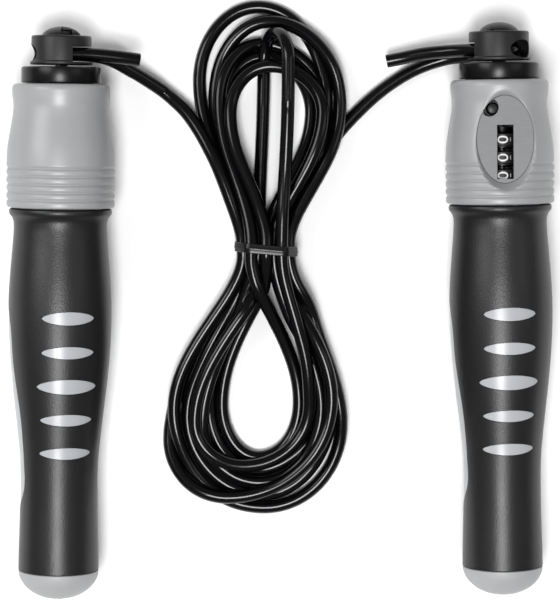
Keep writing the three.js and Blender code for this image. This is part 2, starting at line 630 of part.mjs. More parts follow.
function headPieces(side) {
  const { inward, headTurn } = HANDLES[side];
  const turn = rad(headTurn);
  const pieces = [
    piece(`${side}_head_drum`, headDrum(inward).rotateY(turn), SATIN_BLACK),
    piece(`${side}_head_cap`, headCap(inward), SATIN_BLACK),
    piece(`${side}_spindle`, spindle(), STEEL),
    piece(`${side}_retaining_clip`, ring(CLIP.radius, CLIP.bore, CLIP.from, CLIP.to), STEEL),
    piece(`rope_bend_${side}`, ropeBend(inward).rotateY(turn), ROPE_BLACK),
  ];
  if (side === 'right') pieces.push(piece('drive_finger', driveFinger(), SATIN_BLACK));
  return pieces;
}

function placedHandle(side) {
  const head = headFrame(side);
  head.add(...headPieces(side));
  const handle = headFrame(side, HANDLES[side].roll);
  handle.add(...handlePieces(side));
  if (side === 'right') handle.add(...counterPieces());
  return [head, handle];
}

const jumpRope = new THREE.Group();
jumpRope.add(...placedHandle('left'), ...placedHandle('right'));
jumpRope.add(
  piece('rope_tail_left', strand('left', true, LEFT_TAIL), ROPE_BLACK),
  piece('rope_tail_right', strand('right', true, RIGHT_TAIL), ROPE_BLACK),
  piece('rope_lead_left', strand('left', false, LEFT_LEAD), ROPE_BLACK),
  piece('rope_lead_right', strand('right', false, RIGHT_LEAD), ROPE_BLACK),
  piece('rope_hank', ropeHank(), ROPE_BLACK),
  piece('hank_tie', hankTie(), SATIN_BLACK),
);

export default jumpRope;
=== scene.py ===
"""Looks of a jump rope with a turn counter: two swivel handles, and their cord bundled and tied between them."""

import json
import math

import bmesh
import bpy
import numpy as np
from mathutils import Matrix, Vector

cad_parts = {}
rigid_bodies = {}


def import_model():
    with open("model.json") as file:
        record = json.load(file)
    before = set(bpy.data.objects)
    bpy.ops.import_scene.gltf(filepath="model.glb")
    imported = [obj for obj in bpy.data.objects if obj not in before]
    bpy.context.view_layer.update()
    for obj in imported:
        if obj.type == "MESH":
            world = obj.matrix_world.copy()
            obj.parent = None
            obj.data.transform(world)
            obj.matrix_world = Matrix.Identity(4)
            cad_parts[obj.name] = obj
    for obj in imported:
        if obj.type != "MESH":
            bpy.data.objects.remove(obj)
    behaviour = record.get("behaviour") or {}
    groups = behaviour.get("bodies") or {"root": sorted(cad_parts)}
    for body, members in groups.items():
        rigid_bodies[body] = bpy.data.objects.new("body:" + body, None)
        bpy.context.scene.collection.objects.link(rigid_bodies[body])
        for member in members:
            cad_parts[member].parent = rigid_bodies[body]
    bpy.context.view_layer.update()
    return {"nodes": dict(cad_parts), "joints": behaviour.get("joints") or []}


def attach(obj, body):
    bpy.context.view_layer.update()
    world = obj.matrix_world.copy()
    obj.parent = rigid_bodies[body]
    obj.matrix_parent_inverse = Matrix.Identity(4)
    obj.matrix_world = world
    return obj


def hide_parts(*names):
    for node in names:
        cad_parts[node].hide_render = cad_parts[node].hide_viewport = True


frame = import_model()

# Sizes are in millimetres, as in the CAD, and meshes are scaled to metres when they are made.
# A distance "a" runs along a handle, from its collar's top face toward the grip's end.
MM = 0.001
SIDES = 128
GAP = 0.12
SHARP_ANGLE = 32
MERGE_WITHIN = 2e-6
SIDE_NAMES = ("left", "right")
ROLL = 2.5
GRIP_TURN = {"left": 12.9, "right": 3.8}
HEAD_TURN = {"left": 10, "right": -42}
INWARD = {"left": 1, "right": -1}

DRUM = {"radius": 8.95, "top": -14.35, "bottom": -5.7, "flange": 9.3, "flange_top": -6.8}
SLOT = {"top": -11.3, "bottom": -6.5, "half": 6.6, "open_from": 2.6}
SIDE_HOLE = {"half_width": 4.6, "half_height": 2.7, "at": -9.0, "deep": 5}
CAP = {"radius": 6.2, "top": -17.1, "rim": -13.2, "bore": 3.5, "bore_top": -16.1}
REACH = 20
NOTCH = {"from": 0.2, "to": REACH, "z": 1.4}
CREASE = {"from": -2.9, "to": -2.1, "z": 3.9}
SPINDLE_BORE = 2.2

COLLAR_LINE = [
    (14.6, 1.7), (14.5, 3.6), (14.2, 6.3), (14.35, 9), (14.8, 12), (15.4, 15.5), (15.85, 18.4),
    (16.1, 21.4), (16.2, 24), (16.2, 30), (16.2, 35.2),
]
COLLAR_CORNER = [(13.2, 0), (13.8, 0.12), (14.3, 0.5), (14.53, 1.0)]
COLLAR_LIP = [(16.2, 36.0), (16.05, 36.5), (15.6, 36.8)]
GROOVES = {"at": (25.0, 27.4, 29.8, 32.1, 34.4), "depth": 0.42, "width": 0.42}
COLLAR_BORE = 12.6
COLLAR_TOP_BORE = 10.6
WEB = (5.6, 9.8)
BUSH_RADIUS = 4.4
RECESS_SOFTNESS = 0.45
RING_LINE = [
    (5.7, -5.1), (11.2, -5.1), (11.6, -5.0), (11.84, -4.75), (11.9, -4.4), (11.9, -0.5), (11.8, -0.3),
    (10.3, -0.3), (10.3, 3.0), (4.4, 3.0), (4.4, -3.8), (5.7, -3.8),
]

SLEEVE_RIM = [(15.0, 37.2), (15.3, 37.45), (15.42, 38.0), (15.3, 38.7), (14.85, 39.3), (14.4, 39.9)]
GRIP_LINE = [
    (14.02, 41.0), (13.95, 42.2), (14.1, 46), (14.6, 52.2), (15.25, 61), (15.5, 69), (15.4, 75), (15.0, 82),
    (14.3, 90), (13.4, 98.4), (12.6, 105.5), (12.0, 111.5), (11.75, 118), (11.7, 126), (11.85, 134),
    (12.1, 143), (12.15, 146.2),
]
SLEEVE_WALL = 1.6
CORE_WALL = 1.8
SPIGOT = {"radius": 12.05, "start": 33.6}
PAD_RECESS = 0.22
LENSES = [(69.1, 2.07, 8.05), (79.3, 1.94, 8.05), (89.5, 2.3, 9.1), (99.6, 1.86, 7.95), (109.7, 1.86, 7.9)]
LENS_DEEP = 5.5
LEAF_ANGLE = 103
LEAF_LINE = [(0, 63), (5.2, 71), (6.2, 84), (7.1, 98), (6.1, 112), (5.5, 122), (0, 129)]
LEAF_DEEP = 8.0
END_CAP = {"radius": 12.1, "start": 146.5, "end": 155.4, "bore": 6.5, "plug": 8, "plug_start": 141.5}

FACE = {"z": 12.9, "thickness": 1.0, "at": 17.6, "half_width": 8.55, "half_length": 13.0, "draft": 0.7}
WINDOW = {"half": 2.45, "from": 13.35, "to": 29.3}
BUTTON_HOLE = (-4.6, 8.2, 2.7)
BUTTON = {"x": -3.6, "at": 8.6, "radius": 1.5, "top": 12.4, "bottom": 7.9}
# The stepped well under the button, each step by its radius and its floor.
BUTTON_WELL = ((2.9, 10.1), (2.5, 6.3))
GUIDE_LINE = [(1.8, 6.6), (2.2, 6.6), (2.2, 10.4), (2.6, 10.4), (2.6, 11.0), (2.5, 11.1), (1.9, 11.1), (1.8, 11.0)]
WHEEL_Z = 5.6
WHEEL = {"radius": 6.0, "half": 1.8, "first": 17.7, "pitch": 5.3, "bore": 1.3}
STAR = {"teeth": 10, "tip": 3.4, "root": 2.4, "start": 12.8, "end": 14.0, "hub": 2.2}
GEAR = {"teeth": 20, "tip": 5.3, "root": 4.4, "thickness": 0.7}
CARRY_DISC = {"radius": 4.2, "thickness": 0.5}
DIGIT = {"height": 3.1, "width": 2.3, "rise": 0.04, "sink": 0.1}

CORD_RADIUS = 2.0
BEND_RADIUS = 4.3
BEND_STUB = 1.2
SLOT_CENTRE = -8.9


# ---- Places ----

def joint(name):
    return next(j for j in frame["joints"] if j["name"] == name)


def head_frame(side):
    """The head's own frame: its origin on the collar's top face, +Y toward the head, +Z to the front."""
    spin = joint(f"{side}_handle_spin")
    axis = Vector(spin["axis"])
    yaw = Matrix.Rotation(math.atan2(-axis.x, axis.y), 4, "Z")
    pitch = Matrix.Rotation(math.asin(axis.z), 4, "X")
    return Matrix.Translation(Vector(spin["pos_m"])) @ yaw @ pitch


def handle_frame(side):
    return head_frame(side) @ Matrix.Rotation(math.radians(ROLL), 4, "Y")


def grip_frame(side):
    """The grip is turned further round than the collar."""
    return handle_frame(side) @ Matrix.Rotation(math.radians(GRIP_TURN[side]), 4, "Y")


def drum_frame(side):
    """The head has come to rest turned its own way."""
    return head_frame(side) @ Matrix.Rotation(math.radians(HEAD_TURN[side]), 4, "Y")


# ---- Mesh helpers ----

def link(obj):
    bpy.context.scene.collection.objects.link(obj)
    return obj


def tidy_mesh(mesh):
    work = bmesh.new()
    work.from_mesh(mesh)
    bmesh.ops.remove_doubles(work, verts=work.verts, dist=MERGE_WITHIN)
    bmesh.ops.recalc_face_normals(work, faces=work.faces)
    work.to_mesh(mesh)
    work.free()
    mesh.polygons.foreach_set("use_smooth", [True] * len(mesh.polygons))
    mesh.set_sharp_from_angle(angle=math.radians(SHARP_ANGLE))


def solid(name, verts, faces, place=None):
    mesh = bpy.data.meshes.new(name)
    mesh.from_pydata((np.asarray(verts, float) * MM).tolist(), [], faces)
    tidy_mesh(mesh)
    obj = link(bpy.data.objects.new(name, mesh))
    if place is not None:
        obj.matrix_world = place
    return obj


def merged(*shells):
    """Several (verts, faces) pairs as one."""
    verts, faces, start = [], [], 0
    for shell_verts, shell_faces in shells:
        verts.append(np.asarray(shell_verts, float))
        faces += [tuple(i + start for i in face) for face in shell_faces]
        start += len(shell_verts)
    return np.vstack(verts), faces


def turned(points, sides=SIDES):
    """A solid of revolution about the handle's axis. Its line runs from axis to axis, or closes on itself."""
    line = np.asarray(points, float)
    count = len(line)
    closed = line[0, 0] > 0
    angle = np.arange(sides) * 2 * math.pi / sides
    radius, along = line[:, :1], -line[:, 1:]
    verts = np.stack([radius * np.sin(angle), along + 0 * angle, radius * np.cos(angle)], -1).reshape(-1, 3)
    faces = []
    for i in range(count if closed else count - 1):
        low, high = i * sides, (i + 1) % count * sides
        for s in range(sides):
            t = (s + 1) % sides
            faces.append((low + s, low + t, high + t, high + s))
    return verts, faces


def prism(outline, low, high):
    """A flat outline in x and y, given thickness along z."""
    flat = np.asarray(outline, float)
    count = len(flat)
    verts = np.vstack([np.column_stack([flat, np.full(count, z)]) for z in (low, high)])
    sides = [(i, (i + 1) % count, (i + 1) % count + count, i + count) for i in range(count)]
    return verts, [tuple(range(count))[::-1], tuple(range(count, 2 * count)), *sides]


def post(radius, x, a, low, high, sides=48):
    angle = np.arange(sides) * 2 * math.pi / sides
    return prism(np.column_stack([x + radius * np.cos(angle), -a + radius * np.sin(angle)]), low, high)


def block(x0, x1, a0, a1, low, high):
    return prism([(x0, -a1), (x1, -a1), (x1, -a0), (x0, -a0)], low, high)


def spun(shell, degrees, axis="Y"):
    turn = np.array(Matrix.Rotation(math.radians(degrees), 3, axis))
    return np.asarray(shell[0]) @ turn.T, shell[1]


def swapped(shell):
    """The same solid with y and z exchanged, so that a prism's thickness runs along the handle."""
    verts = np.asarray(shell[0])[:, [0, 2, 1]] * (1, -1, 1)
    return verts, shell[1]


def evaluated_mesh(obj):
    bpy.context.view_layer.update()
    return bpy.data.meshes.new_from_object(obj.evaluated_get(bpy.context.evaluated_depsgraph_get()))


def combine(obj, *shells, how="DIFFERENCE"):
    """Cuts solids, given in obj's own frame, from obj, or keeps what it has in common with them."""
    tools = []
    for shell in shells:
        tool = solid("tool", *shell, place=obj.matrix_world.copy())
        modifier = obj.modifiers.new("cut", "BOOLEAN")
        modifier.operation, modifier.solver, modifier.object = how, "EXACT", tool
        tools.append(tool)
    mesh = evaluated_mesh(obj)
    obj.modifiers.clear()
    obj.data = mesh
    for tool in tools:
        bpy.data.objects.remove(tool)
    tidy_mesh(mesh)
    return obj


def through(points, per=8):
    """Points of a smooth line through the given ones."""
    p = np.asarray(points, float)
    h = np.linalg.norm(np.diff(p, axis=0), axis=1)[:, None]
    slope = np.diff(p, axis=0) / h
    tangent = np.empty_like(p)
    tangent[1:-1] = (slope[:-1] * h[1:] + slope[1:] * h[:-1]) / (h[1:] + h[:-1])
    tangent[0], tangent[-1] = slope[0], slope[-1]
    t = np.linspace(0, 1, per, endpoint=False)[:, None]
    out = []
    for i in range(len(p) - 1):
        start, end = tangent[i] * h[i], tangent[i + 1] * h[i]
        out.append((2 * t**3 - 3 * t**2 + 1) * p[i] + (t**3 - 2 * t**2 + t) * start
                   + (3 * t**2 - 2 * t**3) * p[i + 1] + (t**3 - t**2) * end)
    return np.vstack([*out, p[-1:]])


def evenly(line, step):
    line = np.asarray(line, float)
    run = np.concatenate([[0], np.cumsum(np.linalg.norm(np.diff(line[:, :3], axis=0), axis=1))])
    at = np.linspace(0, run[-1], max(2, round(run[-1] / step) + 1))
    return np.column_stack([np.interp(at, run, line[:, k]) for k in range(line.shape[1])])


def length_of(line):
    return float(np.linalg.norm(np.diff(np.asarray(line), axis=0), axis=1).sum())


# ---- Materials ----

def material(name, color, roughness, grain, depth, *, tint=0.08, stretch=(1, 1, 1), spread=0.03,
             speckle=0.0, metallic=0.0, specular=0.5):
    """Plastic or metal whose colour, gloss and surface vary with a grain of the given size in millimetres."""
    mat = bpy.data.materials.new(name)
    mat.use_nodes = True
    nodes, links = mat.node_tree.nodes, mat.node_tree.links
    shader = nodes["Principled BSDF"]
    shader.inputs["Metallic"].default_value = metallic
    shader.inputs["Specular IOR Level"].default_value = specular
    place = nodes.new("ShaderNodeTexCoord")
    scaled = nodes.new("ShaderNodeMapping")
    scaled.inputs["Scale"].default_value = [s / (grain * MM) for s in stretch]
    links.new(place.outputs["Object"], scaled.inputs["Vector"])
    fine = nodes.new("ShaderNodeTexNoise")
    fine.inputs["Scale"].default_value = 1.0
    fine.inputs["Detail"].default_value = 3.0
    links.new(scaled.outputs["Vector"], fine.inputs["Vector"])
    broad = nodes.new("ShaderNodeTexNoise")
    broad.inputs["Scale"].default_value = 90.0
    broad.inputs["Detail"].default_value = 2.0
    links.new(place.outputs["Object"], broad.inputs["Vector"])
    shade = nodes.new("ShaderNodeMix")
    shade.data_type = "RGBA"
    shade.inputs["A"].default_value = [c * (1 - tint) for c in color] + [1]
    shade.inputs["B"].default_value = [c * (1 + tint) + speckle for c in color] + [1]
    links.new(fine.outputs["Fac"], shade.inputs["Factor"])
    links.new(shade.outputs["Result"], shader.inputs["Base Color"])
    gloss = nodes.new("ShaderNodeMapRange")
    gloss.inputs["To Min"].default_value = max(0.02, roughness - spread)
    gloss.inputs["To Max"].default_value = roughness + spread
    links.new(broad.outputs["Fac"], gloss.inputs["Value"])
    links.new(gloss.outputs["Result"], shader.inputs["Roughness"])
    bump = nodes.new("ShaderNodeBump")
    bump.inputs["Strength"].default_value = 1.0
    bump.inputs["Distance"].default_value = depth * MM
    links.new(fine.outputs["Fac"], bump.inputs["Height"])
    links.new(bump.outputs["Normal"], shader.inputs["Normal"])
    return mat


MATERIALS = {
    "collar_grey": material("collar_grey", (0.3, 0.304, 0.31), 0.36, 0.35, 0.014, tint=0.04),
    "cap_grey": material("cap_grey", (0.35, 0.354, 0.36), 0.45, 0.35, 0.01, tint=0.04),
    "face_grey": material("face_grey", (0.18, 0.184, 0.19), 0.5, 0.35, 0.02, tint=0.16, stretch=(0.08, 1, 1)),
    "core_grey": material("core_grey", (0.38, 0.39, 0.41), 0.3, 0.6, 0.004, tint=0.03),
    "grip_black": material("grip_black", (0.0025, 0.0025, 0.0028), 0.39, 0.5, 0.05, tint=0.3, speckle=0.005,
                           specular=0.45),
    "gloss_black": material("gloss_black", (0.002, 0.002, 0.0024), 0.3, 0.8, 0.002, tint=0.1, specular=0.25),
    "head_black": material("head_black", (0.004, 0.004, 0.0045), 0.42, 0.4, 0.04, tint=0.2, speckle=0.004,
                           specular=0.4),
    "counter_black": material("counter_black", (0.004, 0.004, 0.0045), 0.4, 0.3, 0.006, tint=0.1, specular=0.3),
    "rope_black": material("rope_black", (0.0015, 0.0015, 0.002), 0.17, 1.5, 0.008, tint=0.15, spread=0.02,
                           specular=0.27),
    "tie_black": material("tie_black", (0.003, 0.003, 0.0035), 0.3, 0.3, 0.006, tint=0.1, specular=0.3),
    "steel": material("steel", (0.6, 0.6, 0.61), 0.25, 0.4, 0.004, metallic=1.0, stretch=(1, 0.15, 1)),
    "black_steel": material("black_steel", (0.06, 0.06, 0.062), 0.32, 0.4, 0.004, metallic=1.0),
    "bronze": material("bronze", (0.5, 0.36, 0.2), 0.4, 0.15, 0.006, metallic=1.0),
    "digit_white": material("digit_white", (0.62, 0.62, 0.61), 0.4, 0.3, 0.004, tint=0.03),
}


def dress(obj, slot):
    obj.data.materials.clear()
    obj.data.materials.append(MATERIALS[slot])
    return obj


def finish_piece(obj, body, slot, *nodes):
    dress(obj, slot)
    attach(obj, body)
    if nodes:
        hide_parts(*nodes)
    return obj


# ---- Grips ----

def offset(line, inset):
    return [(r - inset, a) for r, a in line]


GRIP_SMOOTH = [tuple(p) for p in through(GRIP_LINE, 10)]


def lens(at, half_height, half_width, margin):
    """A window's outline: two flat arcs that meet in points at the sides."""
    w, h = half_width - 2 * margin, half_height - margin
    t = np.linspace(-1, 1, 41)
    arc = h * (1 - np.abs(t) ** 2) ** 0.6
    top = np.column_stack([w * t, arc - at])
    low = np.column_stack([w * t, -arc - at])[::-1][1:-1]
    return prism(np.vstack([top, low]), LENS_DEEP, REACH)


def leaf(side, margin):
    edge = [(t - margin if t else 0, a) for t, a in LEAF_LINE]
    edge[0], edge[-1] = (0, LEAF_LINE[0][1] + 2 * margin), (0, LEAF_LINE[-1][1] - margin)
    half = through(edge, 8) * (1, -1)
    outline = np.vstack([half, half[::-1][1:-1] * (-1, 1)])
    return spun(prism(outline, LEAF_DEEP, REACH), side * LEAF_ANGLE)


def window_shells(margin):
    return [merged(*[lens(*one, margin) for one in LENSES]), leaf(-1, margin), leaf(1, margin)]


def sleeve(side):
    outside = SLEEVE_RIM + GRIP_SMOOTH
    inside = offset(GRIP_SMOOTH, SLEEVE_WALL)[::-1]
    line = [(inside[-1][0], SLEEVE_RIM[0][1]), *outside, *inside]
    obj = solid(f"{side}_sleeve", *turned(line), grip_frame(side))
    return combine(obj, *window_shells(0))


def pads(side):
    face = offset(GRIP_SMOOTH, PAD_RECESS)
    back = offset(GRIP_SMOOTH, SLEEVE_WALL)[::-1]
    shell = turned([*face, *back])
    parts = []
    for window in window_shells(GAP):
        obj = solid("pad", *shell)
        combine(obj, window, how="INTERSECT")
        verts = np.array([v.co for v in obj.data.vertices]) / MM
        parts.append((verts, [tuple(p.vertices) for p in obj.data.polygons]))
        bpy.data.objects.remove(obj)
    wall = SLEEVE_WALL + GAP
    tube_out = offset(GRIP_SMOOTH, wall)
    tube_in = offset(GRIP_SMOOTH, wall + CORE_WALL)[::-1]
    spigot = [(SPIGOT["radius"] - CORE_WALL, SPIGOT["start"]), (SPIGOT["radius"], SPIGOT["start"])]
    parts.append(turned([*spigot, *tube_out, *tube_in]))
    return solid(f"{side}_core", *merged(*parts), grip_frame(side))


def end_cap(side):
    top, bottom = END_CAP["start"], END_CAP["end"]
    rise = np.linspace(0, math.pi / 2, 25)
    dome = [(END_CAP["radius"] * math.cos(t), top + (bottom - top) * math.sin(t)) for t in rise[:-1]]
    edge = [(END_CAP["radius"] - 0.25, top), (END_CAP["radius"], top + 0.2)]
    bore, plug, start = END_CAP["bore"], END_CAP["plug"], END_CAP["plug_start"]
    cavity = [(0, bottom - 2), (bore, top + 3), (bore, start), (plug, start), (plug, top)]
    return solid(f"{side}_tail_cap", *turned([*cavity, *edge, *dome[1:], (0, bottom)]), handle_frame(side))


# ---- Collars ----

def collar_line():
    wall = np.array(through(COLLAR_LINE, 12))
    # The steps are closer where the grooves are.
    along = np.concatenate([np.arange(1.7, 23.8, 0.3), np.arange(23.8, 35.4, 0.12)])
    radius = np.interp(along, wall[:, 1], wall[:, 0])
    for at in GROOVES["at"]:
        radius -= GROOVES["depth"] * np.exp(-(((along - at) / GROOVES["width"]) ** 2))
    outside = list(zip(radius, along))
    web_top, web_bottom = WEB
    inside = [
        (COLLAR_BORE, 36.8), (COLLAR_BORE, web_bottom + 1.2), (COLLAR_BORE - 1.4, web_bottom),
        (BUSH_RADIUS, web_bottom), (BUSH_RADIUS, web_top), (COLLAR_TOP_BORE, web_top), (COLLAR_TOP_BORE, 0),
    ]
    return [*COLLAR_CORNER, *outside, *COLLAR_LIP, *inside]


def recess_height(x, along):
    """How high the recess's sloping wall stands at each point: it leans out from the counter's oval face."""
    low, high = np.full(len(x), -6.0), np.full(len(x), 30.0)
    for _ in range(30):
        middle = (low + high) / 2
        wide = FACE["half_width"] + FACE["draft"] * middle
        long = FACE["half_length"] + FACE["draft"] * middle
        outside = (x / wide) ** 2 + ((along - FACE["at"]) / long) ** 2 > 1
        low, high = np.where(outside, middle, low), np.where(outside, high, middle)
    return FACE["z"] + np.clip(high, -0.6, None)


def oval(inset, low, high, count=120):
    angle = np.arange(count) * 2 * math.pi / count
    x = (FACE["half_width"] - inset) * np.cos(angle)
    y = (FACE["half_length"] - inset) * np.sin(angle) - FACE["at"]
    return prism(np.column_stack([x, y]), low, high)


def collar(side):
    verts, faces = turned(collar_line(), 256)
    if side == "right":
        front = (verts[:, 2] > 4) & (np.hypot(verts[:, 0], verts[:, 2]) > COLLAR_BORE + 0.2) & (verts[:, 1] < -1)
        wall = recess_height(verts[front, 0], -verts[front, 1])
        z = verts[front, 2]
        # The lower of the two heights, with a soft edge between them.
        verts[front, 2] = (z + wall - np.sqrt((z - wall) ** 2 + RECESS_SOFTNESS**2)) / 2
    obj = solid(f"{side}_collar_shell", verts, faces, handle_frame(side))
    if side == "right":
        low = FACE["z"] - FACE["thickness"] - 0.3
        well = [post(radius, BUTTON["x"], BUTTON["at"], bottom, low + 1) for radius, bottom in BUTTON_WELL]
        combine(obj, oval(0, low, REACH), *well)
    return obj


def ring(side):
    return solid(f"{side}_ring", *turned(RING_LINE), handle_frame(side))


# ---- Heads ----

def drum(side):
    inward = INWARD[side]
    top, bottom, radius = DRUM["top"], DRUM["bottom"], DRUM["radius"]
    flange, flange_top = DRUM["flange"], DRUM["flange_top"]
    corner, small = 0.6, 0.25
    turn = np.linspace(0, math.pi / 2, 6)
    upper = [(radius - corner + corner * math.sin(t), top + corner - corner * math.cos(t)) for t in turn]
    step = [(radius, flange_top - 0.1), (flange - small, flange_top), (flange, flange_top + small)]
    lower = [(flange, bottom - small), (flange - small, bottom)]
    obj = solid(f"{side}_drum", *turned([(0, top), *upper, *step, *lower, (0, bottom)], 96), drum_frame(side))
    angle = np.linspace(math.pi / 2, 3 * math.pi / 2, 25)
    throat = np.column_stack([SLOT["half"] * np.cos(angle), SLOT["half"] * np.sin(angle)])
    start, half = SLOT["open_from"], SLOT["half"]
    mouth = [(start, -half), (start, -REACH), (REACH, -REACH), (REACH, REACH), (start, REACH), (start, half)]
    slot = swapped(prism(np.vstack([throat, mouth]) * (inward, 1), SLOT["top"], SLOT["bottom"]))
    deep = SIDE_HOLE["deep"]
    hole = turned([(0, deep), (1, deep), (1, REACH), (0, REACH)], 48)
    hole = spun((hole[0] * (SIDE_HOLE["half_height"], 1, SIDE_HOLE["half_width"]), hole[1]), -90 * inward, "Z")
    hole = (hole[0] + (0, -SIDE_HOLE["at"], 0), hole[1])
    # A known fault: on the right drum this cut adds its tool as a solid rod, where on the left it leaves a bore.
    bore = turned([(0, top - 2), (SPINDLE_BORE, top - 2), (SPINDLE_BORE, bottom + 2), (0, bottom + 2)], 48)
    return combine(obj, slot, hole, bore)


def head_cap(side):
    """The left dome is open over its screw; the right one only has a crease."""
    rise = np.linspace(0, math.pi / 2, 20)
    height = CAP["rim"] - CAP["top"]
    dome = [(CAP["radius"] * math.sin(t), CAP["rim"] - height * math.cos(t)) for t in rise]
    cavity = [(CAP["bore"], CAP["rim"]), (CAP["bore"], CAP["bore_top"]), (0, CAP["bore_top"])]
    obj = solid(f"{side}_dome", *turned([*dome, *cavity], 96), head_frame(side))
    under = block(-REACH, REACH, DRUM["top"] - 0.05, REACH, -REACH, REACH)
    opening = NOTCH if side == "left" else CREASE
    notch = block(opening["from"], opening["to"], -REACH, REACH, opening["z"], REACH)
    return combine(obj, under, notch)


# ---- Counter ----

def face_plate():
    low = FACE["z"] - FACE["thickness"]
    obj = solid("counter_face", *oval(0.15, low, FACE["z"]), handle_frame("right"))
    window = block(-WINDOW["half"], WINDOW["half"], WINDOW["from"], WINDOW["to"], low - 1, REACH)
    x, at, radius = BUTTON_HOLE
    combine(obj, window, post(radius, x, at, low - 1, REACH, 64))
    bevel = obj.modifiers.new("bevel", "BEVEL")
    bevel.width, bevel.segments, bevel.limit_method = 0.1 * MM, 2, "ANGLE"
    bevel.angle_limit = math.radians(50)
    return obj


def gear(teeth, tip, root, start, end):
    outline = []
    for tooth in range(teeth):
        for radius, turn in ((root, -0.25), (tip, 0.0), (root, 0.25)):
            angle = (tooth + turn) * 2 * math.pi / teeth
            outline.append((radius * math.sin(angle), -radius * math.cos(angle)))
    return swapped(prism(outline, start, end))


def wheel(name, order):
    """A number wheel. A known fault: its gears are solid discs, so the axle passes through them."""
    centre = WHEEL["first"] + order * WHEEL["pitch"]
    near, far, r, bore = centre - WHEEL["half"], centre + WHEEL["half"], WHEEL["radius"], WHEEL["bore"]
    rim = turned([(bore, near), (r - 0.2, near), (r, near + 0.2), (r, far - 0.2), (r - 0.2, far), (bore, far)], 96)
    parts = [rim]
    if order == 0:
        end, hub = STAR["end"], STAR["hub"]
        parts.append(gear(STAR["teeth"], STAR["tip"], STAR["root"], STAR["start"], end))
        parts.append(turned([(bore, end), (hub, end), (hub, near), (bore, near)], 32))
    else:
        parts.append(gear(GEAR["teeth"], GEAR["tip"], GEAR["root"], near - GEAR["thickness"], near))
    if order < 2:
        radius, end = CARRY_DISC["radius"], far + CARRY_DISC["thickness"]
        parts.append(turned([(bore, far), (radius, far), (radius, end), (bore, end)], 48))
    place = handle_frame("right") @ Matrix.Translation((0, 0, WHEEL_Z * MM))
    return solid(name, *merged(*parts), place)


def digits(name, order):
    """Ten digits round a wheel, with their tops toward the handle's left."""
    centre = WHEEL["first"] + order * WHEEL["pitch"]
    height, width, rise, sink = (DIGIT[key] for key in ("height", "width", "rise", "sink"))
    shells = []
    for digit in range(10):
        text = bpy.data.curves.new("digit", "FONT")
        text.body = str(digit)
        text.extrude = 0.5
        text.resolution_u = 6
        letter = link(bpy.data.objects.new("digit", text))
        mesh = evaluated_mesh(letter)
        co = np.array([v.co for v in mesh.vertices])
        low, high = co.min(0), co.max(0)
        share = (co - (low + high) / 2) / (high - low)
        narrow = 0.5 if digit == 1 else 1.0
        across, up = share[:, 0] * width * narrow, share[:, 1] * height
        radius = np.where(share[:, 2] > 0, WHEEL["radius"] + rise, WHEEL["radius"] - sink)
        angle = -up / WHEEL["radius"] + digit * 2 * math.pi / 10 - 0.1
        verts = np.column_stack([radius * np.sin(angle), across - centre, radius * np.cos(angle)])
        shells.append((verts, [tuple(p.vertices) for p in mesh.polygons]))
        bpy.data.objects.remove(letter)
    place = handle_frame("right") @ Matrix.Translation((0, 0, WHEEL_Z * MM))
    return solid(name, *merged(*shells), place)


def upright(line, x, a, sides=64):
    """A turned solid that stands along z at a point of the handle; its line is [radius, z]."""
    verts, faces = turned([(r, -z) for r, z in line], sides)
    verts = verts[:, [0, 2, 1]] * (1, -1, 1) + (x, -a, 0)
    return verts, faces


def reset_button():
    top, radius = BUTTON["top"], BUTTON["radius"]
    line = [(0, BUTTON["bottom"]), (radius, BUTTON["bottom"]), (radius, top - 0.35), (radius - 0.1, top - 0.12),
            (radius - 0.35, top), (0, top + 0.08)]
    return solid("reset_boss", *upright(line, BUTTON["x"], BUTTON["at"]), handle_frame("right"))


def button_guide():
    return solid("reset_guide", *upright(GUIDE_LINE, BUTTON["x"], BUTTON["at"]), handle_frame("right"))


# ---- Cord ----

LEFT_TAIL = [(-51.3, 76.8, 19.1), (-46, 76.2, 18.2), (-41.9, 75.6, 17.3)]
RIGHT_TAIL = [(51.0, 78.5, 11.6), (42.4, 77.7, 8.8), (36.4, 76.5, 7.4), (32.3, 75.7, 6.9)]
LEFT_LEAD = [(-51.4, 76.1, 10.4), (-45.6, 73.1, 8.4), (-39.6, 69.5, 6.0), (-34.2, 65.7, 4.0), (-30.6, 62.5, 2.8)]
RIGHT_LEAD = [(57.0, 77.4, 5.2), (51.2, 76.7, 3.2), (45.4, 75.1, 2.5), (39.4, 72.5, 2.25), (33.4, 68.8, 2.2),
              (27.2, 63.9, 2.2), (23.6, 60.5, 2.2)]
TIE_AT = (-4.2, 18.9)
TIE_ROW = 3.46
TIE_FLOOR = 2.8
TIE_HALF = 2.0
TIE_TILT = 5
TIE_SECTION = [
    (-1.45, 0.25), (-1.3, 0.06), (-1.1, 0), (1.1, 0), (1.3, 0.06), (1.45, 0.25), (1.45, 0.45), (1.3, 0.62),
    (1.05, 0.68), (0.5, 0.66), (0.28, 0.78), (-0.28, 0.78), (-0.5, 0.66), (-1.05, 0.68), (-1.3, 0.62), (-1.45, 0.45),
]

# Where the cord runs through the tie, in its own order: across from the tie's middle, and the row.
PASSES = [
    (-6.9, 2), (6.9, 2), (-6.9, 0), (4.6, 1), (-4.6, 1), (6.9, 0), (-4.5, 3), (0.1, 3), (2.3, 2), (-2.3, 2),
    (0, 1), (4.7, 3), (-2.3, 0), (2.3, 0),
]
